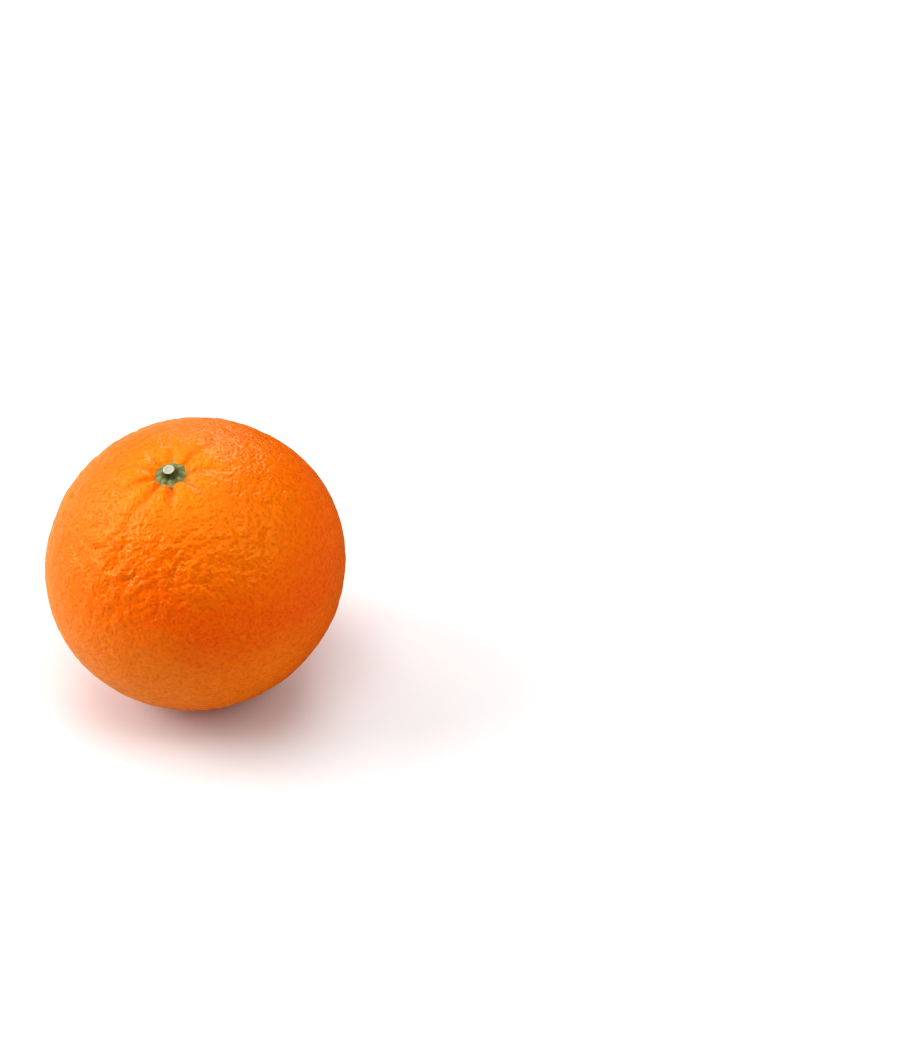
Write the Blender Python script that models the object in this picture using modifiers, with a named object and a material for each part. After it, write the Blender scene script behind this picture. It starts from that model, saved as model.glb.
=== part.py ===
"""A whole mandarin as picked: the fruit, its green calyx and the stub of its cut stem.

Metres, +Z up. The origin is the centre of the flat spot that the fruit rests on, and -Y is its front.
The fruit is turned about its core, which leans, and is flattened where it rests. The calyx and the
stem sit square to the core, in the shallow eye at its top.

Run it with: blender --background --python part.py
"""

import math

import bmesh
import bpy
from mathutils import Matrix, Vector

# ---- Driving dimensions -------------------------------------------------------------------------
EQUATOR_DIAMETER = 0.067  # across the fruit, square to its core
BODY_HEIGHT = 0.0638  # along the core from pole to pole, before the eye is pressed in
FOOT_DIAMETER = 0.014  # the flat spot that it rests on

CORE_LEAN_DEG = 10.0  # how far the core leans from upright
CORE_LEAN_TOWARDS_DEG = 223.0  # the side that it leans to, counted from +X

EYE_DEPTH = 0.0032  # how deep the top is drawn in round the stem
EYE_REACH = 0.0066  # the distance from the core at which the eye is a third as deep
SHOULDER_LOBE_RISE = 0.0005  # how far the peel swells between two points of the calyx
SHOULDER_LOBE_REACH = 0.0045  # how far past the calyx the swelling is highest

# Slow swellings of the flank: how many there are round the fruit, the side of the first one
# counted from +X, and how high they rise.
FLANK_SWELLINGS = (
    (2, math.radians(40), 0.00058),
    (3, math.radians(107), 0.00009),
)

CALYX_TIP_DIAMETER = 0.0078  # across the points of the star
CALYX_NOTCH_DIAMETER = 0.0065  # across the bays between the points
CALYX_RIM_THICKNESS = 0.0005
CALYX_CENTRE_THICKNESS = 0.0009
# Where the points of the star lie, counted from +X. No two gaps are alike on a real calyx.
CALYX_TIPS_DEG = (0, 48, 90, 127, 160, 197, 233, 274, 322)

STEM_TOP_DIAMETER = 0.0029
STEM_BASE_DIAMETER = 0.0036
STEM_HEIGHT = 0.0014
STEM_EDGE = 0.0002  # the bevel round the cut
STEM_FLARE_FOOT = 0.10  # shares of the stem's height between which it widens to its base
STEM_FLARE_TOP = 0.45

# Meshes hold 32-bit numbers, so pieces that touch are drawn this far apart.
TOUCHING_GAP = 0.0003
SEAT_MARGIN = 0.0003  # the seat's flat is this much wider than the calyx, all round

TURN_STEPS = 72  # sides of the fruit and the calyx
STEM_STEPS = 24
SHOULDER_RINGS = 7  # rings of the fruit's mesh within the eye
FLANK_RINGS = 22  # rings of the fruit's mesh from the eye to the lower pole
SHARP_ANGLE = math.radians(50)  # steeper folds than this are shaded as edges
MERGE_DISTANCE = 1e-6  # of the turned mesh's poles and seam

# ---- Sizes worked out from those ----------------------------------------------------------------
equator_radius = EQUATOR_DIAMETER / 2
half_height = BODY_HEIGHT / 2
foot_radius = FOOT_DIAMETER / 2
calyx_tip_radius = CALYX_TIP_DIAMETER / 2
calyx_notch_radius = CALYX_NOTCH_DIAMETER / 2
stem_base_radius = STEM_BASE_DIAMETER / 2
stem_top_radius = STEM_TOP_DIAMETER / 2
seat_radius = calyx_tip_radius + SEAT_MARGIN
eye_edge = seat_radius + 2 * SHOULDER_LOBE_REACH


def ellipse_height(radius):
    """Height of the plain ellipse above its equator, at this distance from the core."""
    return half_height * math.sqrt(max(0.0, 1 - (radius / equator_radius) ** 2))


def shoulder_height(radius):
    """The same with the eye pressed in."""
    return ellipse_height(radius) - EYE_DEPTH * math.exp(-((radius / EYE_REACH) ** 2))


seat_height = shoulder_height(seat_radius)


# ---- The rules that shape a turned mesh ---------------------------------------------------------
def between_tips(angle):
    """0 on the line of a calyx point and 1 midway to the next one."""
    degrees = math.degrees(angle) % 360
    tips = [*CALYX_TIPS_DEG, CALYX_TIPS_DEG[0] + 360]
    if degrees < tips[0]:
        degrees += 360
    for here, following in zip(tips, tips[1:], strict=False):
        if here <= degrees <= following:
            return math.sin(math.pi * (degrees - here) / (following - here))
    return 0.0


def swollen(point):
    """The fruit's surface with the swellings of its flank and the small lobes round its eye."""
    radius = math.hypot(point.x, point.y)
    if radius == 0:
        return point
    angle = math.atan2(point.y, point.x)
    flank = (radius / equator_radius) ** 4
    swelling = sum(
        height * math.cos(count * (angle - first)) for count, first, height in FLANK_SWELLINGS
    )
    scale = 1 + swelling * flank / radius
    out = Vector((point.x * scale, point.y * scale, point.z))

    if point.z > 0 and radius > seat_radius:
        past_calyx = (radius - seat_radius) / SHOULDER_LOBE_REACH
        lobe = past_calyx * math.exp(1 - past_calyx)
        out.z += SHOULDER_LOBE_RISE * lobe * between_tips(angle)
    return out


def starred(point):
    """The calyx disc drawn out into points and bays, more so the nearer its rim."""
    radius = math.hypot(point.x, point.y)
    if radius == 0:
        return point
    bay = between_tips(math.atan2(point.y, point.x))
    rim = calyx_tip_radius + (calyx_notch_radius - calyx_tip_radius) * bay
    share = radius / calyx_tip_radius
    scale = 1 + (rim / calyx_tip_radius - 1) * share**2
    return Vector((point.x * scale, point.y * scale, point.z))


# ---- Making the objects -------------------------------------------------------------------------
def clear_scene():
    for obj in list(bpy.data.objects):
        bpy.data.objects.remove(obj, do_unlink=True)


def make_collection(name):
    collection = bpy.data.collections.new(name)
    bpy.context.scene.collection.children.link(collection)
    return collection


def make_material(name, colour, roughness):
    material = bpy.data.materials.new(name)
    material.use_nodes = True
    shader = material.node_tree.nodes["Principled BSDF"]
    shader.inputs["Base Color"].default_value = (*colour, 1)
    shader.inputs["Roughness"].default_value = roughness
    shader.inputs["Metallic"].default_value = 0.0
    return material


def turned_mesh(profile, steps):
    """A closed mesh turned about Z from (radius, height) points that run down its outer side."""
    outline = bpy.data.meshes.new("outline")
    points = [(radius, 0, height) for radius, height in profile]
    outline.from_pydata(points, [(i, i + 1) for i in range(len(points) - 1)], [])
    lathe_work = bpy.data.objects.new("lathe_work", outline)
    bpy.context.scene.collection.objects.link(lathe_work)

    screw = lathe_work.modifiers.new("Turn", "SCREW")
    screw.axis = "Z"
    screw.steps = steps
    screw.render_steps = steps
    screw.use_merge_vertices = True
    screw.merge_threshold = MERGE_DISTANCE

    graph = bpy.context.evaluated_depsgraph_get()
    mesh = bpy.data.meshes.new_from_object(lathe_work.evaluated_get(graph))
    bpy.data.objects.remove(lathe_work, do_unlink=True)

    work = bmesh.new()
    work.from_mesh(mesh)
    bmesh.ops.remove_doubles(work, verts=work.verts, dist=MERGE_DISTANCE)
    work.to_mesh(mesh)
    work.free()
    return mesh


def add_piece(name, mesh, material, collection, core, height_on_core=0.0):
    mesh.name = name
    mesh.materials.clear()
    mesh.materials.append(material)
    mesh.shade_smooth()
    mesh.set_sharp_from_angle(angle=SHARP_ANGLE)
    obj = bpy.data.objects.new(name, mesh)
    collection.objects.link(obj)
    obj.parent = core
    obj.location.z = height_on_core
    return obj


def make_core(collection):
    """The leaning frame that every piece hangs on, at the middle of the fruit's body."""
    towards = math.radians(CORE_LEAN_TOWARDS_DEG)
    tipping_axis = Vector((-math.sin(towards), math.cos(towards), 0))
    turn = Matrix.Rotation(math.radians(CORE_LEAN_DEG), 3, tipping_axis)

    # The lowest point of the leaning body, and the share of its depth that the foot leaves.
    radii = Vector((equator_radius, equator_radius, half_height))
    down = radii * (turn.inverted() @ Vector((0, 0, -1)))
    lowest = turn @ (radii * down / down.length)
    share_left = math.sqrt(1 - (foot_radius / equator_radius) ** 2)

    core = bpy.data.objects.new("core", None)
    core.empty_display_size = equator_radius
    core.matrix_world = Matrix.LocRotScale(-lowest * share_left, turn, None)
    collection.objects.link(core)
    return core


def make_ground_cutter(collection):
    """The slab below z = 0 that takes the rounding off the foot."""
    side = 2 * EQUATOR_DIAMETER
    bpy.ops.mesh.primitive_cube_add(size=side, location=(0, 0, -side / 2))
    cutter = bpy.context.object
    cutter.name = "ground_cutter"
    cutter.hide_render = True
    cutter.display_type = "WIRE"
    for other in list(cutter.users_collection):
        other.objects.unlink(cutter)
    collection.objects.link(cutter)
    return cutter


def fruit_profile():
    """The fruit's outline from the middle of the calyx seat down to the lower pole."""
    profile = [(0, seat_height), (seat_radius, seat_height)]
    for ring in range(1, SHOULDER_RINGS + 1):
        radius = seat_radius + (eye_edge - seat_radius) * ring / SHOULDER_RINGS
        profile.append((radius, shoulder_height(radius)))

    first = math.asin(eye_edge / equator_radius)
    for ring in range(1, FLANK_RINGS):
        turn = first + (math.pi - first) * ring / FLANK_RINGS
        radius = equator_radius * math.sin(turn)
        if turn < math.pi / 2:
            profile.append((radius, shoulder_height(radius)))
        else:
            profile.append((radius, -ellipse_height(radius)))
    return [*profile, (0, -half_height)]


def make_fruit(collection, core, ground_cutter):
    mesh = turned_mesh(fruit_profile(), TURN_STEPS)
    for vertex in mesh.vertices:
        vertex.co = swollen(vertex.co)
    peel = make_material("peel", (0.86, 0.20, 0.004), 0.38)
    fruit = add_piece("fruit", mesh, peel, collection, core)
    foot = fruit.modifiers.new("Foot", "BOOLEAN")
    foot.operation = "DIFFERENCE"
    foot.object = ground_cutter


def make_calyx(collection, core):
    """A thin star, thickest under the stem, lying on the seat."""
    boss_radius = stem_base_radius + CALYX_RIM_THICKNESS
    bay_radius = (boss_radius + calyx_notch_radius) / 2
    profile = [
        (0, CALYX_CENTRE_THICKNESS),
        (boss_radius, CALYX_CENTRE_THICKNESS),
        (bay_radius, (CALYX_CENTRE_THICKNESS + CALYX_RIM_THICKNESS) / 2),
        (calyx_notch_radius, CALYX_RIM_THICKNESS),
        (calyx_tip_radius, CALYX_RIM_THICKNESS),
        (calyx_tip_radius, 0),
        (0, 0),
    ]
    mesh = turned_mesh(profile, TURN_STEPS)
    for vertex in mesh.vertices:
        vertex.co = starred(vertex.co)
    sepal = make_material("calyx", (0.11, 0.20, 0.05), 0.6)
    add_piece("calyx", mesh, sepal, collection, core, seat_height + TOUCHING_GAP)


def make_stem(collection, core):
    """The stub left where the stem was snipped, with a bevelled edge round the cut."""
    profile = [
        (0, STEM_HEIGHT),
        (stem_top_radius - STEM_EDGE, STEM_HEIGHT),
        (stem_top_radius, STEM_HEIGHT - STEM_EDGE),
        (stem_top_radius, STEM_HEIGHT * STEM_FLARE_TOP),
        (stem_base_radius, STEM_HEIGHT * STEM_FLARE_FOOT),
        (stem_base_radius, 0),
        (0, 0),
    ]
    mesh = turned_mesh(profile, STEM_STEPS)
    bark = make_material("stem", (0.16, 0.19, 0.04), 0.6)
    height = seat_height + TOUCHING_GAP + CALYX_CENTRE_THICKNESS + TOUCHING_GAP
    add_piece("stem", mesh, bark, collection, core, height)


def main():
    clear_scene()
    mandarin = make_collection("mandarin")
    cutters = make_collection("cutters")
    core = make_core(mandarin)
    make_fruit(mandarin, core, make_ground_cutter(cutters))
    make_calyx(mandarin, core)
    make_stem(mandarin, core)


main()
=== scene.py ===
# %% [markdown]
# # A whole mandarin, as picked
#
# This script dresses a plain mandarin in its real surface. The plain model, called the frame, says
# where the fruit, its calyx and its stem are and how big they are. Each of them is grown again here
# with Geometry Nodes, at the same size and place, and gets a material made of nodes.
#
# The frame is loaded first, because everything that follows takes its place from it.

import math

import bpy
from mathutils import Matrix, Vector
from mathutils.bvhtree import BVHTree


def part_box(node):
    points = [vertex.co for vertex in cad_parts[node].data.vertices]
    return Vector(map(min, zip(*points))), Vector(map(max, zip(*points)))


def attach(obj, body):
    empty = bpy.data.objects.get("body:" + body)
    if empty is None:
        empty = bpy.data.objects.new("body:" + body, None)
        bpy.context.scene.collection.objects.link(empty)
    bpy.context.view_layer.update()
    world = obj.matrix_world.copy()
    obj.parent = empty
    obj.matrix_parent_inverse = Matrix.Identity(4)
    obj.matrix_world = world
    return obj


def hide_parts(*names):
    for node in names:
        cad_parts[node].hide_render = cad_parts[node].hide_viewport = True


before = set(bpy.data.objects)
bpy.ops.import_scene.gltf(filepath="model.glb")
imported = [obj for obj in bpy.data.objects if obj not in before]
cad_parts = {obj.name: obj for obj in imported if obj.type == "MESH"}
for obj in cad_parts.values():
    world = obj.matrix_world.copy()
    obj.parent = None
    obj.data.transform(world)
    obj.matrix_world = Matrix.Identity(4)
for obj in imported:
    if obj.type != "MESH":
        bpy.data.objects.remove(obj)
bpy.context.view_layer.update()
MM = 0.001

# %% [markdown]
# ## Nodes written as sums
#
# Geometry Nodes and materials use the same Math nodes. Placing hundreds of them one by one hides
# what they work out, so a small class wraps a node's output, and Python's own signs add the nodes:
# `height * 2 + 1` makes a Multiply node and an Add node. Every other kind of node comes from one
# method, `add`, which sets the node's settings first and then its sockets.


# %% The wire and the bench
class Wire:
    """A node's output. Signs between wires and numbers add Math nodes to the wire's tree."""

    def __init__(self, bench, node, output):
        self.bench = bench
        self.node = node
        self.output = output

    def other(self, name):
        """Another output of the same node."""
        return Wire(self.bench, self.node, self.node.outputs[name])

    def __add__(self, value):
        return self.bench.math("ADD", self, value)

    def __radd__(self, value):
        return self.bench.math("ADD", value, self)

    def __sub__(self, value):
        return self.bench.math("SUBTRACT", self, value)

    def __rsub__(self, value):
        return self.bench.math("SUBTRACT", value, self)

    def __mul__(self, value):
        return self.bench.math("MULTIPLY", self, value)

    def __truediv__(self, value):
        return self.bench.math("DIVIDE", self, value)

    def __pow__(self, value):
        return self.bench.math("POWER", self, value)

    def __neg__(self):
        return self.bench.math("MULTIPLY", self, -1.0)


class Bench:
    """Adds nodes to one tree, which may be a shape's or a material's."""

    def __init__(self, tree):
        self.tree = tree

    def add(self, kind, settings=None, sockets=None, take=0):
        """A new node; returns its output named or numbered `take`."""
        node = self.tree.nodes.new(kind)
        for name, value in (settings or {}).items():
            setattr(node, name, value)
        for key, value in (sockets or {}).items():
            if isinstance(value, Wire):
                self.tree.links.new(value.output, node.inputs[key])
            else:
                node.inputs[key].default_value = value
        return Wire(self, node, node.outputs[take]) if node.outputs else Wire(self, node, None)

    def math(self, operation, *values):
        return self.add("ShaderNodeMath", {"operation": operation}, dict(enumerate(values)))

    def vector_math(self, operation, *values, take=0):
        sockets = dict(enumerate(values))
        return self.add("ShaderNodeVectorMath", {"operation": operation}, sockets, take)

    def exp(self, value):
        return self.math("EXPONENT", value)

    def bell(self, value, width):
        """1 where value is 0, falling to a third at `width` on either side."""
        share = value / width
        return self.exp(-(share * share))

    def rise(self, value, low, high):
        """0 below `low`, 1 above `high`, with a smooth step between."""
        sockets = {"Value": value, "From Min": low, "From Max": high}
        return self.add("ShaderNodeMapRange", {"interpolation_type": "SMOOTHSTEP"}, sockets)

    def scaled(self, vector, factor):
        return self.add(
            "ShaderNodeVectorMath", {"operation": "SCALE"}, {"Vector": vector, "Scale": factor}
        )

    def split(self, vector):
        x = self.add("ShaderNodeSeparateXYZ", sockets={0: vector})
        return x, x.other("Y"), x.other("Z")

    def join(self, x, y, z):
        return self.add("ShaderNodeCombineXYZ", sockets={0: x, 1: y, 2: z})

    def noise(self, vector, size, detail=2.0, roughness=0.5, take=0):
        """Noise whose blobs are about `size` across, from 0 to 1. Its "Color" is three at once."""
        sockets = {"Vector": vector, "Scale": 1 / size, "Detail": detail, "Roughness": roughness}
        return self.add("ShaderNodeTexNoise", {"noise_dimensions": "3D"}, sockets, take)

    def cells(self, vector, size):
        """Distance to the middle of the nearest cell, counted in cells `size` across."""
        sockets = {"Vector": vector, "Scale": 1 / size, "Randomness": 0.9}
        return self.add("ShaderNodeTexVoronoi", {"feature": "F1"}, sockets, "Distance")

    def mix(self, factor, first, second):
        """The first colour where the factor is 0, the second where it is 1."""
        sockets = {"Factor": factor, 6: first, 7: second}  # 6 and 7 are the node's pair of colours
        return self.add("ShaderNodeMix", {"data_type": "RGBA"}, sockets, 2)

    def bump(self, height):
        """The surface's direction once a relief, given in metres, is laid over it."""
        sockets = {"Strength": 1.0, "Distance": 1.0, "Height": height}
        return self.add("ShaderNodeBump", sockets=sockets)


print("node bench ready")

# %% [markdown]
# ## The camera
#
# The fruit is seen from in front and 42 degrees above the table, through a long lens, so it looks
# nearly as round as it is. The camera stands a little to the right of it, which leaves the fruit on
# the left of the picture with clear table beside it.

# %% Camera
VIEW_DROP = math.radians(42)
LENS_MM = 120
CAMERA_DISTANCE = 0.786
CAMERA_RIGHT_OF_FRUIT = 57.0 * MM
CAMERA_ABOVE_FRUIT = 8.4 * MM

fruit_low, fruit_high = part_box("fruit")
fruit_middle = (fruit_low + fruit_high) / 2
ahead = Vector((0, math.cos(VIEW_DROP), -math.sin(VIEW_DROP)))
picture_up = Vector((0, math.sin(VIEW_DROP), math.cos(VIEW_DROP)))

camera_data = bpy.data.cameras.new("camera")
camera_data.lens = LENS_MM
camera_data.clip_start = 0.05
camera_data.clip_end = 20
camera = bpy.data.objects.new("camera", camera_data)
camera.location = (
    fruit_middle
    - ahead * CAMERA_DISTANCE
    + Vector((CAMERA_RIGHT_OF_FRUIT, 0, 0))
    + picture_up * CAMERA_ABOVE_FRUIT
)
camera.rotation_euler = (math.pi / 2 - VIEW_DROP, 0, 0)
bpy.context.scene.collection.objects.link(camera)
bpy.context.scene.camera = camera
print("camera at", tuple(round(x, 4) for x in camera.location))

# %% [markdown]
# ## Table and light
#
# A white table and big soft lights, as for fruit on a catalogue page. The strongest light is at the
# left and a little behind, so the shadow falls to the right and forwards. A weaker one at the right
# draws a second soft sheen. Farther off, the table goes over into the plain white of the room, so
# that no horizon shows from low down.
#
# A waxy peel mirrors the table at its rim, and a pure white would turn the orange pink there. So
# where it is mirrored the table is a warm white at the left, and orange at the right, as if more
# fruit lay on that side. A light path node tells which kind of ray is asking. The Standard view
# transform keeps the orange as pure as it is, where the usual film-like one would grey it.

# %% Table and light
FLOOR_RADIUS = 6.0
FLOOR_SIDES = 96
FLOOR_FADES = (0.25, 1.0)  # metres from the fruit between which the table turns plain white
FLOOR_WHITE = (0.86, 0.86, 0.86, 1)
MIRRORED_LEFT = (0.45, 0.50, 0.25, 1)
MIRRORED_RIGHT = (0.24, 0.10, 0.01, 1)
MIRROR_TURNS = (-0.03, 0.03)  # metres from left to right between which one becomes the other


def new_material(name):
    """A material, its bench and its Principled shader."""
    material = bpy.data.materials.new(name)
    material.use_nodes = True
    bench = Bench(material.node_tree)
    shader = material.node_tree.nodes["Principled BSDF"]
    return material, bench, shader


def soft_light(name, side, climb, distance, size, watts):
    """A square light that faces the fruit and isn't seen itself."""
    data = bpy.data.lights.new(name, "AREA")
    data.shape = "SQUARE"
    data.size = size
    data.energy = watts
    lamp = bpy.data.objects.new(name, data)
    level = math.cos(climb)
    towards = Vector((level * math.cos(side), level * math.sin(side), math.sin(climb)))
    lamp.location = fruit_middle + towards * distance
    lamp.rotation_euler = (-towards).to_track_quat("-Z", "Y").to_euler()
    lamp.visible_camera = False
    bpy.context.scene.collection.objects.link(lamp)
    return lamp


floor_mesh = bpy.data.meshes.new("floor")
rim = []
for i in range(FLOOR_SIDES):
    turn = 2 * math.pi * i / FLOOR_SIDES
    rim.append((FLOOR_RADIUS * math.cos(turn), FLOOR_RADIUS * math.sin(turn), 0))
floor_mesh.from_pydata(rim, [], [range(FLOOR_SIDES)])
floor = bpy.data.objects.new("floor", floor_mesh)
bpy.context.scene.collection.objects.link(floor)
floor_material, floor_bench, floor_shader = new_material("white_table")
ray = floor_bench.add("ShaderNodeLightPath", take="Is Camera Ray")
floor_place = floor_bench.add("ShaderNodeTexCoord", take="Object")
floor_x, _, _ = floor_bench.split(floor_place)
to_the_right = floor_bench.rise(floor_x, *MIRROR_TURNS)
mirrored = floor_bench.mix(to_the_right, MIRRORED_LEFT, MIRRORED_RIGHT)
floor_colour = floor_bench.mix(ray.other("Is Glossy Ray"), FLOOR_WHITE, mirrored)
floor_bench.tree.links.new(floor_colour.output, floor_shader.inputs["Base Color"])
far_off = floor_bench.vector_math("LENGTH", floor_place, take="Value")
whitened = floor_bench.rise(far_off, *FLOOR_FADES) * ray
floor_glow = floor_bench.join(whitened, whitened, whitened)
floor_bench.tree.links.new(floor_glow.output, floor_shader.inputs["Emission Color"])
floor_shader.inputs["Emission Strength"].default_value = 1.0
floor_shader.inputs["Roughness"].default_value = 0.9
floor_shader.inputs["Specular IOR Level"].default_value = 0.0
floor_mesh.materials.append(floor_material)

# Each light's name, the side it stands on and its height in degrees, its distance and size in
# metres, and its power in watts. Side 0 is the right, and 90 is behind the fruit.
LIGHTS = (
    ("key_light", 176, 30, 1.1, 0.65, 10.0),
    ("left_light", 150, 42, 1.1, 0.80, 4.6),
    ("top_light", 0, 88, 1.1, 0.90, 8.8),
    ("back_light", 85, 30, 1.1, 0.50, 3.8),
    ("right_light", 340, 43, 1.1, 0.70, 4.6),
)
for name, side, climb, distance, size, watts in LIGHTS:
    soft_light(name, math.radians(side), math.radians(climb), distance, size, watts)

ROOM_GLOW = 0.016  # how much the room itself lights the fruit; the camera sees it as 1, plain white
ROOM_SHEEN = 0.002  # and how bright it is where the peel mirrors it

world = bpy.data.worlds.new("white_room")
world.use_nodes = True
bpy.context.scene.world = world
room = Bench(world.node_tree)
background = world.node_tree.nodes["Background"]
background.inputs["Color"].default_value = (1, 1, 1, 1)
seen = room.add("ShaderNodeLightPath", take="Is Camera Ray")
glow = seen * (1 - ROOM_GLOW) + ROOM_GLOW
strength = glow - seen.other("Is Glossy Ray") * (ROOM_GLOW - ROOM_SHEEN)
world.node_tree.links.new(strength.output, background.inputs["Strength"])

bpy.context.scene.view_settings.view_transform = "Standard"
print("table and lights ready")

# %% [markdown]
# ## Where the core is
#
# A citrus fruit is built round its core, the line from the stem to the scar of the flower. This one
# leans a little as it lies, so the shapes are grown upright round the core first, where their rules
# are simple, and then leaned over together. These are the sizes of the plain model.

# %% The core and the body's sizes
EQUATOR_RADIUS = 33.5 * MM
HALF_HEIGHT = 31.9 * MM
FOOT_RADIUS = 7.0 * MM
EYE_DEPTH = 3.2 * MM
EYE_REACH = 6.6 * MM
SEAT_RADIUS = 4.2 * MM
CORE_LEAN = math.radians(10)
CORE_LEAN_TOWARDS = math.radians(223)

tipping_axis = Vector((-math.sin(CORE_LEAN_TOWARDS), math.cos(CORE_LEAN_TOWARDS), 0))
core_turn = Matrix.Rotation(CORE_LEAN, 3, tipping_axis)
body_radii = Vector((EQUATOR_RADIUS, EQUATOR_RADIUS, HALF_HEIGHT))
down = body_radii * (core_turn.inverted() @ Vector((0, 0, -1)))
lowest_point = core_turn @ (body_radii * down / down.length)
depth_left_by_foot = math.sqrt(1 - (FOOT_RADIUS / EQUATOR_RADIUS) ** 2)
core = Matrix.LocRotScale(-lowest_point * depth_left_by_foot, core_turn, None)

seat_on_ellipse = HALF_HEIGHT * math.sqrt(1 - (SEAT_RADIUS / EQUATOR_RADIUS) ** 2)
seat_height = seat_on_ellipse - EYE_DEPTH * math.exp(-((SEAT_RADIUS / EYE_REACH) ** 2))
seat = core @ Matrix.Translation((0, 0, seat_height))
calyx_low, calyx_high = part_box("calyx")
print("calyx seat at", tuple(seat.translation), "in the frame", tuple((calyx_low + calyx_high) / 2))

# %% [markdown]
# ## Growing a piece
#
# Each piece is a Geometry Nodes tree with its sizes as named inputs. This helper makes an object,
# hangs the tree on it, sets the inputs by their identifiers, and keeps the result as a plain mesh.
# The tree starts from one of Blender's own meshes, bends it by a rule, leans it with the core, and
# ends in Realize Instances and Set Material.


# %% Helpers that grow a piece
def new_tree(name, sizes):
    """A geometry tree with one input for each named size; returns its bench and the sizes' wires."""
    tree = bpy.data.node_groups.new(name, "GeometryNodeTree")
    tree.interface.new_socket("Geometry", in_out="OUTPUT", socket_type="NodeSocketGeometry")
    for label, value in sizes.items():
        socket = tree.interface.new_socket(label, in_out="INPUT", socket_type="NodeSocketFloat")
        socket.default_value = value
    bench = Bench(tree)
    first = bench.add("NodeGroupInput")
    return bench, {label: first.other(label) for label in sizes}


def moved(bench, geometry, position=None, offset=None):
    sockets = {"Geometry": geometry}
    if position is not None:
        sockets["Position"] = position
    if offset is not None:
        sockets["Offset"] = offset
    return bench.add("GeometryNodeSetPosition", sockets=sockets)


def stored(bench, geometry, name, value, data_type="FLOAT"):
    """Keeps a value on every point, for the material to read."""
    settings = {"data_type": data_type, "domain": "POINT"}
    sockets = {"Geometry": geometry, "Name": name, "Value": value}
    return bench.add("GeometryNodeStoreNamedAttribute", settings, sockets)


def placed(bench, geometry, matrix):
    """The geometry turned and moved by a matrix."""
    place, turn, _ = matrix.decompose()
    sockets = {"Geometry": geometry, "Translation": place, "Rotation": turn.to_euler()}
    return bench.add("GeometryNodeTransform", sockets=sockets)


def close_tree(bench, geometry, material):
    geometry = bench.add("GeometryNodeSetShadeSmooth", sockets={"Geometry": geometry})
    geometry = bench.add("GeometryNodeRealizeInstances", sockets={"Geometry": geometry})
    sockets = {"Geometry": geometry, "Material": material}
    geometry = bench.add("GeometryNodeSetMaterial", sockets=sockets)
    bench.add("NodeGroupOutput", sockets={0: geometry})


def grow(name, bench, sizes, material):
    """Runs the tree and keeps its result as a plain mesh."""
    piece = bpy.data.objects.new(name, bpy.data.meshes.new(name + "_start"))
    bpy.context.scene.collection.objects.link(piece)
    growth = piece.modifiers.new("Growth", "NODES")
    growth.node_group = bench.tree
    for item in bench.tree.interface.items_tree:
        if item.in_out == "INPUT":
            growth[item.identifier] = sizes[item.name]
    graph = bpy.context.evaluated_depsgraph_get()
    mesh = bpy.data.meshes.new_from_object(piece.evaluated_get(graph))
    piece.modifiers.remove(growth)
    piece.data = mesh
    mesh.name = name
    mesh.materials.clear()
    mesh.materials.append(material)
    low = [round(min(v.co[i] for v in mesh.vertices) / MM, 2) for i in range(3)]
    high = [round(max(v.co[i] for v in mesh.vertices) / MM, 2) for i in range(3)]
    print(name, len(mesh.polygons), "faces, from", low, "to", high, "mm")
    return piece


# %% [markdown]
# ## The body
#
# The body is an ellipsoid with an eye pressed in at the top and a small scar at the bottom, where
# the flower was. Slow swellings make it a little uneven, as every grown fruit is.
#
# A UV sphere would do, but triangles crowd together at its poles, and one of them is the eye. So the
# shape starts from a cube and blows it up into a ball, which spreads the faces evenly. Every
# height that is likely to change is one of the tree's named inputs.

# %% Values of the peel's shape
SIDE_POINTS = 129  # along each edge of the cube, so the peel has just under 200,000 triangles
# How often each slow swelling comes round the flank, the side where it is highest, and how high.
FLANK_SWELLINGS = ((2, math.radians(40), 0.58 * MM), (3, math.radians(107), 0.09 * MM))
PEEL_SIZES = {
    "Equator radius": EQUATOR_RADIUS,
    "Half height": HALF_HEIGHT,
    "Eye depth": EYE_DEPTH,
    "Eye reach": EYE_REACH,
    "Seat radius": 3.6 * MM,
    "Lobe rise": 1.15 * MM,
    "Lobe start": 2.9 * MM,
    "Lobe reach": 2.2 * MM,
    "Unevenness": 0.28 * MM,
    "Pebble height": 0.09 * MM,
    "Crumple height": 0.30 * MM,
    "Bulge height": 1.25 * MM,
    "Fold height": 0.20 * MM,
    "Scar depth": 0.70 * MM,
}
print("peel sizes, mm:", {k: round(v / MM, 3) for k, v in PEEL_SIZES.items()})


# %% The body's rules
def ball_direction(bench):
    """The direction from the middle of the cube, evened out so that the faces come out alike."""
    x, y, z = bench.split(bench.add("GeometryNodeInputPosition"))
    warped = [bench.math("TANGENT", value * (math.pi / 4)) for value in (x, y, z)]
    return bench.vector_math("NORMALIZE", bench.join(*warped))


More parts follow.
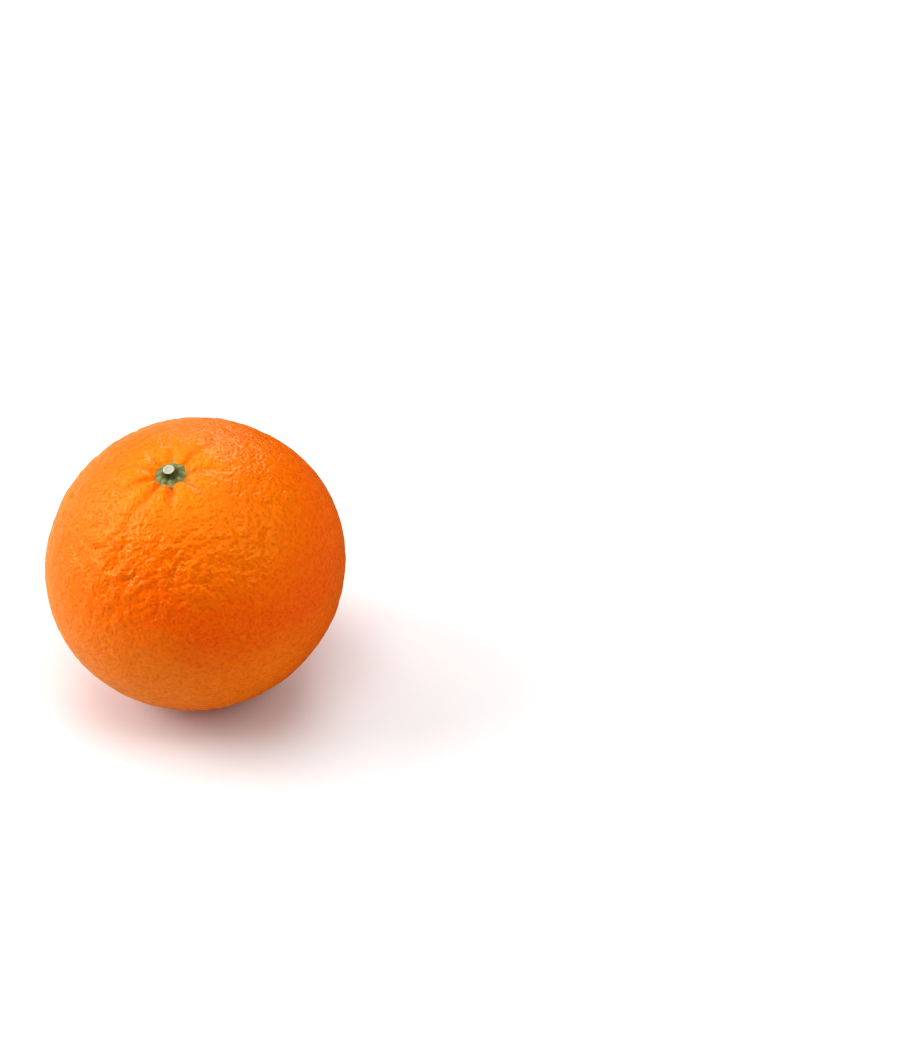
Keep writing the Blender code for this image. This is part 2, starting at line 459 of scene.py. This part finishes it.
def plain_body(bench, direction, size):
    """The ellipsoid with its eye and its slow swellings."""
    x, y, z = bench.split(direction)
    across = bench.math("SQRT", x * x + y * y)
    radius = across * size["Equator radius"]
    side = bench.math("ARCTAN2", y, x)

    swelling = 0.0
    for count, first, height in FLANK_SWELLINGS:
        swelling = swelling + bench.math("COSINE", (side - first) * count) * height
    radius_out = radius + swelling * across**4

    seat_share = size["Seat radius"] / size["Equator radius"]
    seat_ceiling = size["Half height"] * bench.math("SQRT", 1 - seat_share * seat_share)
    height = bench.math("SMOOTH_MIN", z * size["Half height"], seat_ceiling, 0.1 * MM)
    held = bench.math("MAXIMUM", radius, size["Seat radius"])
    eye = size["Eye depth"] * bench.bell(held, size["Eye reach"]) * bench.rise(z, -0.1, 0.1)

    scar = size["Scar depth"] * bench.bell(radius, 2.0 * MM) * bench.rise(z, 0.1, -0.1)
    return bench.join(
        bench.math("COSINE", side) * radius_out,
        bench.math("SINE", side) * radius_out,
        height - eye + scar,
    )


print("the body has", 6 * (SIDE_POINTS - 1) ** 2, "faces")

# %% [markdown]
# ## The eye
#
# Round the calyx the peel rises in lobes with furrows between them, each furrow starting at a point
# of the calyx, where the skin is held down. One furrow at the back runs far out. The same furrows
# are kept as a value on the mesh, so that the material can paint them redder, as the shade in them.
# One row of a table says what a furrow is like, and a loop adds up their nodes.

# %% Values of the eye
CALYX_TIPS_DEG = (0, 48, 90, 127, 160, 197, 233, 274, 322)
HALF_TIP_GAP = math.pi / len(CALYX_TIPS_DEG)
# Furrows round the eye: the side that each runs to in degrees, then its depth, half its width and
# its length, in mm. Nine start at the points of the calyx; the last two are shallow lines between.
FURROWS = (
    (0, 0.34, 0.34, 5.5),
    (48, 0.44, 0.40, 13.0),
    (90, 0.22, 0.30, 4.5),
    (127, 0.26, 0.30, 5.0),
    (160, 0.30, 0.35, 6.5),
    (197, 0.36, 0.40, 6.5),
    (233, 0.50, 0.40, 7.0),
    (274, 0.66, 0.32, 4.0),
    (322, 0.44, 0.34, 5.5),
    (340, 0.16, 0.22, 8.0),
    (351, 0.14, 0.22, 6.0),
)
FURROW_START = (2.4, 4.0)  # mm from the core between which a furrow reaches its depth
FURROW_WIDENS = 0.07  # mm that half its width grows with each mm of its length
FURROW_STRAYS = 0.35  # how far it strays to a side, as a share of how far out it is
LOBES_FULLER_IN_FRONT = 0.55  # as a share of their height; those at the back are as much lower


# %% The eye's rules
def off_tip(bench, side):
    """0 on the line of a calyx point and 1 midway between two of them."""
    nearest = None
    for degrees in CALYX_TIPS_DEG:
        turned = bench.math("WRAP", side - math.radians(degrees), math.pi, -math.pi)
        away = bench.math("ABSOLUTE", turned)
        nearest = away if nearest is None else bench.math("MINIMUM", nearest, away)
    return bench.math("MINIMUM", nearest / HALF_TIP_GAP, 1.0)


def eye_lobes(bench, position, size):
    """How far the peel rises round the eye, with the furrows cut into it; and the furrows alone, which
    the material paints redder as shade.
    """
    x, y, z = bench.split(position)
    radius = bench.math("SQRT", x * x + y * y)
    top = bench.rise(z, 0.0, 5 * MM)
    bay = bench.math("SINE", off_tip(bench, bench.math("ARCTAN2", y, x)) * (math.pi / 2))
    past = bench.math("MAXIMUM", (radius - size["Lobe start"]) / size["Lobe reach"], 0.0)
    fuller = 1 - y / (radius + 0.1 * MM) * LOBES_FULLER_IN_FRONT
    swell = past * bench.exp(1 - past) * size["Lobe rise"] * (bay * 0.65 + 0.35) * fuller

    cuts = 0.0
    shading = 0.0
    wander = bench.noise(bench.scaled(position, 1 / MM), 5.0, 1.0) - 0.5
    wander = wander * (radius - 3.0 * MM) * FURROW_STRAYS
    start, full = FURROW_START
    for degrees, depth, half_width, length in FURROWS:
        angle = math.radians(degrees)
        along = x * math.cos(angle) + y * math.sin(angle)
        beside = y * math.cos(angle) - x * math.sin(angle) + wander
        begins = bench.rise(along, start * MM, full * MM)
        fades = bench.bell(bench.math("MAXIMUM", along - full * MM, 0.0), length * MM)
        width = half_width * MM + (along - full * MM) * FURROW_WIDENS
        line = bench.bell(beside, width) * begins * fades
        cuts = cuts + line * (depth * MM)
        shading = shading + line * (depth / 0.5)
    shading = bench.math("MINIMUM", shading, 1.0) * top
    return (swell - cuts) * top, shading


print("furrows:", len(FURROWS), "and calyx points:", len(CALYX_TIPS_DEG))

# %% [markdown]
# ## Tight and loose skin
#
# In a belt below the eye the skin has slack in it. There it swells into small rounded bulges, and
# long folds wind slantwise across the front, as a sleeve does when it is twisted. Elsewhere the skin
# is drawn tight, and only the soft pebbles show that hold a few oil glands each.
#
# All of this is noise of several sizes, measured in millimetres on the unleaned body. For the folds
# the noise is read at a spot that is turned back by the twist and squeezed along the core, so that
# it comes out slanting and drawn out. Cells make the bulges, since they are round and meet in narrow
# valleys.

# %% Values of the skin
PEBBLE_PITCH = 1.4  # mm between the soft swellings that hold a few glands each
CRUMPLE_PITCH = 2.2  # mm between the small unevennesses of loose skin
BULGE_PITCH = 3.1  # mm from one rounded bulge of loose skin to the next
FOLD_PITCH = 4.2  # mm from one long fold to the next
FOLD_STRETCH = 2.0  # how many times longer a fold is than the gap to the next one
FOLD_TWIST = 22.0  # mm down the fruit in which the folds wind round it by one radian
FOLD_BELT = (27.0, 9.5)  # mm from the stem to the middle of the belt of folds, and half its width
FOLD_FRONT = (-6.0, 19.0)  # mm from the core to the middle of the slack, and half its width
FOLD_WANDER = (9.0, 9.0, 7.0)  # mm that the folds stray
BULGE_SHAKE = (2.4, 2.4, 2.4)  # mm that the bulges are pushed out of line
LEAST_SLACK = 0.12
TIGHT_AT_EYE = (2.5, 6.5)  # mm from the core between which the skin goes from tight to free


# %% The skin's rules
def unwound(bench, spot):
    """The spot as it would lie with the screw of the folds straightened out along the core."""
    x, y, z = bench.split(spot)
    length = bench.vector_math("LENGTH", spot, take="Value")
    down = bench.math("ARCCOSINE", z / length) * (EQUATOR_RADIUS / MM)
    side = bench.math("ARCTAN2", y, x) + down / FOLD_TWIST
    across = bench.math("SQRT", x * x + y * y)
    straight_x = bench.math("COSINE", side) * across
    straight_y = bench.math("SINE", side) * across
    straight = bench.join(straight_x, straight_y, down / FOLD_STRETCH)
    wander = bench.noise(spot, 6.25, take="Color")
    return bench.vector_math("MULTIPLY_ADD", wander, FOLD_WANDER, straight), down


def half_unwound(bench, straight, spot):
    """A mixture of both, in which things lie slantwise but aren't drawn out as long as the folds."""
    return bench.vector_math("MULTIPLY_ADD", straight, (0.3, 0.3, 0.3), spot)


def ridges(bench, vector, pitch):
    """0 between the ridges and 1 on their crests."""
    wave = bench.noise(vector, pitch, 1.0, 0.45)
    off = bench.math("ABSOLUTE", wave - 0.5)
    return bench.math("MAXIMUM", 1 - off / 0.13, 0.0) ** 1.5


def slack(bench, spot, down):
    """How loose the skin is, from 0 to 1: most in a belt across the front, some of it all round."""
    x, y, _ = bench.split(spot)
    belt = bench.bell(down - FOLD_BELT[0], FOLD_BELT[1])
    front = bench.bell(x - FOLD_FRONT[0], FOLD_FRONT[1]) * bench.rise(y, 12.0, -12.0) * 0.65 + 0.25
    patch = bench.rise(bench.noise(spot, 8.0, 1.0), 0.30, 0.55)
    return (belt * front * (patch * 0.5 + 0.5)) + LEAST_SLACK


def peel_relief(bench, spot, size):
    """The fine relief, outwards, at a spot given in millimetres from the middle of the core."""
    uneven = (bench.noise(spot, 13.0, 1.0) - 0.5) * 2 * size["Unevenness"]
    pebble = (bench.noise(spot, PEBBLE_PITCH, 1.0) - 0.5) * 2 * size["Pebble height"]
    straight, down = unwound(bench, spot)
    loose = slack(bench, spot, down)
    crest = ridges(bench, straight, FOLD_PITCH) * loose
    half_way = half_unwound(bench, straight, spot)
    crumple = (bench.noise(half_way, CRUMPLE_PITCH, 1.5, 0.55) - 0.5) * loose
    shake = bench.noise(spot, 2.0, take="Color")
    shaken = bench.vector_math("MULTIPLY_ADD", shake, BULGE_SHAKE, half_way)
    off_centre = bench.cells(shaken, BULGE_PITCH)
    bulge = (0.35 - off_centre * off_centre) * loose
    fine = pebble + crumple * size["Crumple height"] * 2 + bulge * size["Bulge height"]
    return uneven + fine + crest * size["Fold height"], loose


print("belt of folds:", FOLD_BELT[0], "mm from the stem, and", 2 * FOLD_BELT[1], "mm wide")

# %% [markdown]
# ## The tree of the peel
#
# The rules now come together. The relief is added outwards along the surface, which needs the body's
# own directions, so the body is bent first and the relief laid on it after. Three values stay on the
# mesh for the material: the spot on the unleaned body, the furrows and the slack. Last the fruit is
# leaned over, and what would sink below the table is pressed flat, as its weight does.


# %% The tree of the peel
def peel_tree(material):
    bench, size = new_tree("grow_peel", PEEL_SIZES)
    cube = {"Size": (2, 2, 2)}
    for side in "XYZ":
        cube["Vertices " + side] = SIDE_POINTS
    geometry = bench.add("GeometryNodeMeshCube", sockets=cube)
    geometry = moved(bench, geometry, plain_body(bench, ball_direction(bench), size))

    spot = bench.scaled(bench.add("GeometryNodeInputPosition"), 1 / MM)
    geometry = stored(bench, geometry, "spot", spot, "FLOAT_VECTOR")
    lobes, furrow = eye_lobes(bench, bench.add("GeometryNodeInputPosition"), size)
    geometry = stored(bench, geometry, "furrow", furrow)
    spot = bench.add("GeometryNodeInputNamedAttribute", {"data_type": "FLOAT_VECTOR"}, {"Name": "spot"})
    relief, loose = peel_relief(bench, spot, size)
    geometry = stored(bench, geometry, "loose", loose)
    level_spot = bench.vector_math("MULTIPLY", spot, (1, 1, 0))
    free = bench.rise(bench.vector_math("LENGTH", level_spot, take="Value"), *TIGHT_AT_EYE)
    raised = lobes + relief * (free * 0.65 + 0.35)
    outwards = bench.scaled(bench.add("GeometryNodeInputNormal"), raised)
    geometry = moved(bench, geometry, offset=outwards)

    geometry = placed(bench, geometry, core)
    x, y, z = bench.split(bench.add("GeometryNodeInputPosition"))
    pressed = bench.math("SMOOTH_MAX", z, 0.0, 0.5 * MM)
    geometry = moved(bench, geometry, bench.join(x, y, pressed))
    close_tree(bench, geometry, material)
    return bench


print("the peel's tree is ready to grow")

# %% [markdown]
# ## The look of the peel
#
# Mandarin peel is a deep, pure orange with a thin natural wax. Its colour isn't even. A broad belt
# across the front is redder; it pales towards the left, where the key light falls, and that paling is
# painted light. The flank at the right, away from that light, is painted red as shade. It is yellower
# round the eye. The oil glands show as slightly darker dots, with fine curly ridges of paler skin
# between them, whose pale is partly a painted glint, and the furrows are painted redder as shade.
# Light goes a little way into it, red light farthest, so it gets some subsurface scattering, which
# keeps the shadows in the folds warm.
#
# The very fine relief, too small for the mesh, is a Bump: the pits of the glands, the curls, a dull
# grain, and small creases where the skin is loose. The wax is a little smoother there, because it
# has been stretched over the bulges.

# %% Values of the peel's look
PEEL_ORANGE = (0.90, 0.164, 0.0008, 1)
# Its red also paints shade on the right flank.
BELT_RED_AND_PAINTED_SHADE = (0.90, 0.087, 0.0005, 1)
EYE_YELLOW = (0.92, 0.225, 0.0012, 1)
GLAND_RED = (0.66, 0.050, 0.0006, 1)
CURL_PALE_AND_PAINTED_GLINT = (0.92, 0.190, 0.0010, 1)
FURROW_PAINTED_SHADE = (0.74, 0.052, 0.0006, 1)
BELT_HEIGHT = 14.5  # mm above the middle of the fruit
BELT_TILT = 0.25  # mm that the belt sinks with each mm to the right
BELT_HALF_WIDTH = 10.0  # mm
# The belt's paling to the left is painted light; the flank's red is painted shade.
BELT_PAINTED_LIGHT_LEFTWARDS = (2.0, -24.0)  # mm to the right of the core; the belt pales from the first to the second
FLANK_PAINTED_SHADE = (14.0, 34.0)  # mm to the right of the core between which the flank turns red
EYE_PALES = (17.0, 5.0)  # mm from the core; the peel turns yellower from the first to the second
DRIFT_SIZE = 22.0  # mm across the broad patches of colour
MOTTLE_SIZE = 1.6  # mm across the small ones
WAX_SIZE = 0.9  # mm across the duller and shinier spots of the wax
GRAIN_SIZE = 0.42  # mm
GLAND_PITCH = 0.95  # mm between the oil glands
CURL_PITCH = 1.15  # mm between the fine curly ridges of the skin
CREASE_PITCH = 0.9  # mm between the small creases of loose skin
GRAIN_HEIGHT = 0.02 * MM
GLAND_DEPTH = 0.14 * MM
CURL_HEIGHT = 0.045 * MM
SOFT_PEBBLE_HEIGHT = 0.22 * MM
CREASE_HEIGHT = 0.30 * MM
peel_area = 4 * math.pi * (EQUATOR_RADIUS / MM) ** 2
print("about", round(peel_area / GLAND_PITCH**2), "oil glands,", GLAND_PITCH, "mm apart")


# %% Peel material
def redness_with_painted_light_and_shade(bench, x, height, drift, mottle):
    """0 where the peel is plain orange and 1 where it is reddest: a belt that pales to the left as
    painted light, and the right flank as painted shade. Drift and mottle fray the edges.
    """
    from_belt = height + x * BELT_TILT + drift * 14 + mottle * 12 - BELT_HEIGHT
    belt = bench.bell(from_belt, BELT_HALF_WIDTH)
    # Painted light: the belt pales towards the left, where the key light falls.
    belt = belt * (1 - bench.rise(x + drift * 20, *BELT_PAINTED_LIGHT_LEFTWARDS) * 0.80)
    # Painted shade: the right flank, turned away from the key light, is painted red.
    flank = bench.rise(x - height * 0.35 + drift * 12, *FLANK_PAINTED_SHADE) * 0.75
    return bench.math("MAXIMUM", belt, flank)


def peel_material():
    material, bench, shader = new_material("mandarin_peel")
    spot = bench.add("ShaderNodeAttribute", {"attribute_name": "spot"}, take="Vector")
    furrow = bench.add("ShaderNodeAttribute", {"attribute_name": "furrow"}, take="Fac")
    loose = bench.add("ShaderNodeAttribute", {"attribute_name": "loose"}, take="Fac")
    x, y, height = bench.split(spot)

    gland = bench.bell(bench.cells(spot, GLAND_PITCH), 0.45)
    curl = ridges(bench, spot, CURL_PITCH)
    drift = bench.noise(spot, DRIFT_SIZE) - 0.5
    mottle = bench.noise(spot, MOTTLE_SIZE) - 0.5
    near_core = bench.rise(bench.math("SQRT", x * x + y * y) + mottle * 4, *EYE_PALES)
    near_eye = near_core * bench.rise(height, 0.0, 8.0)

    colour = bench.mix(redness_with_painted_light_and_shade(bench, x, height, drift, mottle), PEEL_ORANGE, BELT_RED_AND_PAINTED_SHADE)
    colour = bench.mix(near_eye * 0.75, colour, EYE_YELLOW)
    colour = bench.mix(gland * 0.36, colour, GLAND_RED)
    # The curls' paler colour is partly the skin's own and partly a painted glint on their crests.
    colour = bench.mix(curl * 0.42, colour, CURL_PALE_AND_PAINTED_GLINT)
    # Painted shade: the furrows are coloured deeper red, as the shade that falls in them.
    colour = bench.mix(furrow * 0.60, colour, FURROW_PAINTED_SHADE)
    bench.tree.links.new(colour.output, shader.inputs["Base Color"])

    wax = bench.noise(spot, WAX_SIZE)
    roughness = 0.18 + wax * 0.12 - bench.rise(loose, 0.15, 0.60) * 0.08
    bench.tree.links.new(roughness.output, shader.inputs["Roughness"])

    straight, _ = unwound(bench, spot)
    creases = bench.noise(half_unwound(bench, straight, spot), CREASE_PITCH, 2.0, 0.55) - 0.5
    grain = bench.noise(spot, GRAIN_SIZE, 2.0, 0.6)
    pebble = bench.noise(spot, PEBBLE_PITCH, 1.0) - 0.5
    relief = (grain - 0.5) * GRAIN_HEIGHT - gland * GLAND_DEPTH + curl * CURL_HEIGHT
    relief = relief + pebble * SOFT_PEBBLE_HEIGHT + creases * loose * CREASE_HEIGHT
    bench.tree.links.new(bench.bump(relief).output, shader.inputs["Normal"])

    shader.inputs["Specular IOR Level"].default_value = 0.38
    shader.inputs["Specular Tint"].default_value = (1.0, 0.72, 0.06, 1)
    shader.inputs["Subsurface Weight"].default_value = 0.30
    shader.inputs["Subsurface Radius"].default_value = (1.5, 0.3, 0.1)
    shader.inputs["Subsurface Scale"].default_value = 1.0 * MM
    return material


# %% Grow the peel
peel_finish = peel_material()
peel = grow("mandarin_peel", peel_tree(peel_finish), PEEL_SIZES, peel_finish)
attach(peel, "root")
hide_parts("fruit")

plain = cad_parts["fruit"].data
plain_surface = BVHTree.FromPolygons(
    [v.co for v in plain.vertices], [p.vertices for p in plain.polygons]
)
spots = [vertex.co for vertex in peel.data.vertices]
gaps = [plain_surface.find_nearest(spot)[3] for spot in spots[::40]]
print("peel lies within", round(max(gaps) / MM, 2), "mm of the plain model")

# %% [markdown]
# ## The calyx
#
# The calyx is what is left of the flower's green cup: a small leathery star under the stem, with its
# points in the furrows and the peel swelling up between them. It is a disc with rings, drawn out at
# its points, ribbed from the middle to each point, and thin at its wavy rim. The points stand where
# the furrows start, so both read the same list of sides. The disc is sunk a little into the peel, so
# that no gap shows under its wavy rim.

# %% Values of the calyx
CALYX_SIZES = {
    "Tip radius": 3.85 * MM,
    "Bay radius": 3.45 * MM,
    "Rim thickness": 0.45 * MM,
    "Centre thickness": 1.20 * MM,
    "Rib height": 0.18 * MM,
    "Sunk": 0.20 * MM,
}
CALYX_SIDES = 180
CALYX_RINGS = 16
CALYX_RIM_RINGS = 3
CALYX_DARK_GREEN = (0.092, 0.115, 0.022, 1)
CALYX_PALE_GREEN = (0.265, 0.290, 0.080, 1)
CALYX_PAINTED_SHADE_GREEN = (0.034, 0.046, 0.008, 1)
CALYX_BROWN = (0.24, 0.21, 0.09, 1)


# %% Shape and look of the calyx
def calyx_tree(material):
    bench, size = new_tree("grow_calyx", CALYX_SIZES)
    disc = {"Vertices": CALYX_SIDES, "Side Segments": CALYX_RIM_RINGS, "Fill Segments": CALYX_RINGS}
    disc.update({"Radius": 1.0, "Depth": 1.0})
    geometry = bench.add("GeometryNodeMeshCylinder", sockets=disc)

    x, y, z = bench.split(bench.add("GeometryNodeInputPosition"))
    share = bench.math("SQRT", x * x + y * y)
    side = bench.math("ARCTAN2", y, x)
    off = off_tip(bench, side)
    bay = bench.math("SINE", off * (math.pi / 2)) ** 1.3
    ragged = (bench.noise(bench.join(x, y, 0.0), 0.22) - 0.5) * (0.35 * MM)
    rim_radius = size["Tip radius"] + (size["Bay radius"] - size["Tip radius"]) * bay + ragged
    radius = size["Tip radius"] * share + (rim_radius - size["Tip radius"]) * share**3

    rib = (1 - off) * bench.bell(share - 0.62, 0.30) * size["Rib height"]
    crease = bench.bell(off - 1, 0.22) * bench.bell(share - 0.7, 0.3) * (size["Rib height"] * 0.6)
    slope = bench.rise(share, 1.05, 0.40)
    body = size["Rim thickness"] + (size["Centre thickness"] - size["Rim thickness"]) * slope
    grain = (bench.noise(bench.join(x, y, 0.0), 0.16) - 0.5) * (0.16 * MM)
    curl = bench.bell(share - 1, 0.16) * (bench.noise(bench.join(x, y, 3.0), 0.5) - 0.45) * (0.7 * MM)
    upper = z + 0.5
    height = upper * (body + rib - crease + grain + curl) - size["Sunk"]
    star_x = bench.math("COSINE", side) * radius
    star_y = bench.math("SINE", side) * radius
    stretched = bench.join(star_x, star_y, height)
    geometry = stored(bench, geometry, "rim_share", share)
    geometry = stored(bench, geometry, "off_tip", off)
    geometry = moved(bench, geometry, stretched)
    geometry = placed(bench, geometry, seat)
    close_tree(bench, geometry, material)
    return bench


def calyx_material():
    """Dull grey-green, paler on the ribs, with painted shade round the foot of the stem, and browner at
    the rim.
    """
    material, bench, shader = new_material("calyx_green")
    place = bench.add("ShaderNodeTexCoord", take="Object")
    spot = bench.scaled(place, 1 / MM)
    share = bench.add("ShaderNodeAttribute", {"attribute_name": "rim_share"}, take="Fac")
    off = bench.add("ShaderNodeAttribute", {"attribute_name": "off_tip"}, take="Fac")
    mottle = bench.noise(spot, 0.7, 3.0, 0.6)
    pale = bench.rise(mottle - off * 0.25, 0.2, 0.7)
    # Painted shade: a dark ring round the stem's foot, where the stem shades the calyx.
    painted_shade_round_stem = bench.bell(share - 0.48, 0.10) * 0.8
    edge = bench.rise(share + (mottle - 0.5) * 0.2, 0.92, 1.04) * 0.45
    colour = bench.mix(pale, CALYX_DARK_GREEN, CALYX_PALE_GREEN)
    colour = bench.mix(painted_shade_round_stem, colour, CALYX_PAINTED_SHADE_GREEN)
    colour = bench.mix(edge, colour, CALYX_BROWN)
    bench.tree.links.new(colour.output, shader.inputs["Base Color"])
    bench.tree.links.new((0.5 + mottle * 0.2).output, shader.inputs["Roughness"])
    grain = (bench.noise(spot, 0.25) - 0.5) * (0.05 * MM)
    bench.tree.links.new(bench.bump(grain).output, shader.inputs["Normal"])
    shader.inputs["Specular IOR Level"].default_value = 0.35
    return material


# %% Grow the calyx
calyx_finish = calyx_material()
calyx = grow("calyx_star", calyx_tree(calyx_finish), CALYX_SIZES, calyx_finish)
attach(calyx, "root")
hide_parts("calyx")

# %% [markdown]
# ## The stem
#
# Pickers snip the stem close to the fruit. What stays is a short stub with an olive bark that has
# fine ribs along it, and a fresh pale cut with the ring of its woody bundles. It is a cylinder with
# a flared foot; the cut is a little dished, and its edge is rounded. Bark and cut are one material:
# a value on the mesh says which is which, so the colours meet exactly at the edge.

# %% Values of the stem
STEM_SIZES = {
    "Top radius": 1.45 * MM,
    "Base radius": 1.85 * MM,
    "Height": 1.60 * MM,
    "Rib depth": 0.10 * MM,
}
STEM_SIDES = 96
STEM_RINGS = 18
CUT_RINGS = 10
STEM_FOOT = 0.8 * MM  # above the calyx's seat
BARK_DARK = (0.022, 0.030, 0.003, 1)
BARK_OLIVE = (0.085, 0.105, 0.014, 1)
BARK_PAINTED_SHADE = (0.014, 0.022, 0.005, 1)
WOOD_DARK = (0.35, 0.34, 0.23, 1)
WOOD_CREAM = (0.54, 0.53, 0.40, 1)
WOOD_RING = (0.20, 0.20, 0.15, 1)


# %% Shape and look of the stem
def stem_tree(material):
    bench, size = new_tree("grow_stem", STEM_SIZES)
    rod = {"Vertices": STEM_SIDES, "Side Segments": STEM_RINGS, "Fill Segments": CUT_RINGS}
    rod.update({"Radius": 1.0, "Depth": 1.0})
    geometry = bench.add("GeometryNodeMeshCylinder", sockets=rod)

    x, y, z = bench.split(bench.add("GeometryNodeInputPosition"))
    share = bench.math("SQRT", x * x + y * y)
    side = bench.math("ARCTAN2", y, x)
    level = z + 0.5
    cut = bench.rise(level, 0.99, 1.0) * bench.rise(share, 0.97, 0.9)
    geometry = stored(bench, geometry, "cut", cut)
    geometry = stored(bench, geometry, "ring_share", share)
    geometry = stored(bench, geometry, "level", level)

    flare = bench.rise(level, 0.55, 0.0)
    wall = size["Top radius"] + (size["Base radius"] - size["Top radius"]) * flare
    round_about = bench.join(bench.math("COSINE", side), bench.math("SINE", side), level * 0.35)
    ribs = (bench.noise(round_about, 0.20) - 0.5) * 2 * size["Rib depth"]
    uneven = (bench.noise(round_about, 1.2) - 0.5) * (0.30 * MM)
    edge = bench.rise(level, 0.90, 1.0) * (0.12 * MM)
    radius = share * (wall + (ribs + uneven) * share * share - edge * share**4)

    at_cut = bench.rise(level, 0.9, 1.0)
    dish = bench.bell(share, 0.55) * (0.14 * MM) * at_cut
    grain = (bench.noise(bench.join(x, y, 5.0), 0.3) - 0.5) * (0.12 * MM) * at_cut
    worn_edge = share**6 * bench.rise(level, 0.95, 1.0) * (0.08 * MM)
    height = level * size["Height"] - dish + grain - worn_edge
    slant = level * level * (0.22 * MM)
    rod_x = bench.math("COSINE", side) * radius - slant
    rod_y = bench.math("SINE", side) * radius
    geometry = moved(bench, geometry, bench.join(rod_x, rod_y, height))
    geometry = placed(bench, geometry, seat @ Matrix.Translation((0, 0, STEM_FOOT)))
    close_tree(bench, geometry, material)
    return bench


def stem_material():
    """Olive bark with darker lines along it, painted shade at its foot, and a cream cut with a greyer
    ring.
    """
    material, bench, shader = new_material("stem_bark")
    place = bench.add("ShaderNodeTexCoord", take="Object")
    spot = bench.scaled(place, 1 / MM)
    cut = bench.add("ShaderNodeAttribute", {"attribute_name": "cut"}, take="Fac")
    share = bench.add("ShaderNodeAttribute", {"attribute_name": "ring_share"}, take="Fac")
    level = bench.add("ShaderNodeAttribute", {"attribute_name": "level"}, take="Fac")
    lines = bench.noise(bench.vector_math("MULTIPLY", spot, (1, 1, 0.25)), 0.35, 2.0, 0.6)
    bark = bench.mix(bench.rise(lines, 0.3, 0.7), BARK_DARK, BARK_OLIVE)
    # Painted shade: the bark darkens towards its foot, where it meets the calyx.
    bark = bench.mix(bench.rise(level, 0.25, 0.0) * 0.7, bark, BARK_PAINTED_SHADE)

    fibre = bench.noise(spot, 0.22, 3.0, 0.7)
    ring = bench.bell(share - 0.42 + (fibre - 0.5) * 0.16, 0.07)
    bundles = ring * bench.rise(fibre, 0.35, 0.6) * 0.75
    wood = bench.mix(bench.rise(fibre, 0.3, 0.7), WOOD_DARK, WOOD_CREAM)
    wood = bench.mix(bundles, wood, WOOD_RING)
    colour = bench.mix(cut, bark, wood)
    bench.tree.links.new(colour.output, shader.inputs["Base Color"])
    bench.tree.links.new((0.55 + fibre * 0.2).output, shader.inputs["Roughness"])
    grain = (lines - 0.5) * (0.08 * MM) + (fibre - 0.5) * (0.04 * MM)
    bench.tree.links.new(bench.bump(grain).output, shader.inputs["Normal"])
    shader.inputs["Specular IOR Level"].default_value = 0.3
    return material


# %% Grow the stem
stem_finish = stem_material()
stem = grow("stem_stub", stem_tree(stem_finish), STEM_SIZES, stem_finish)
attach(stem, "root")
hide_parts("stem")
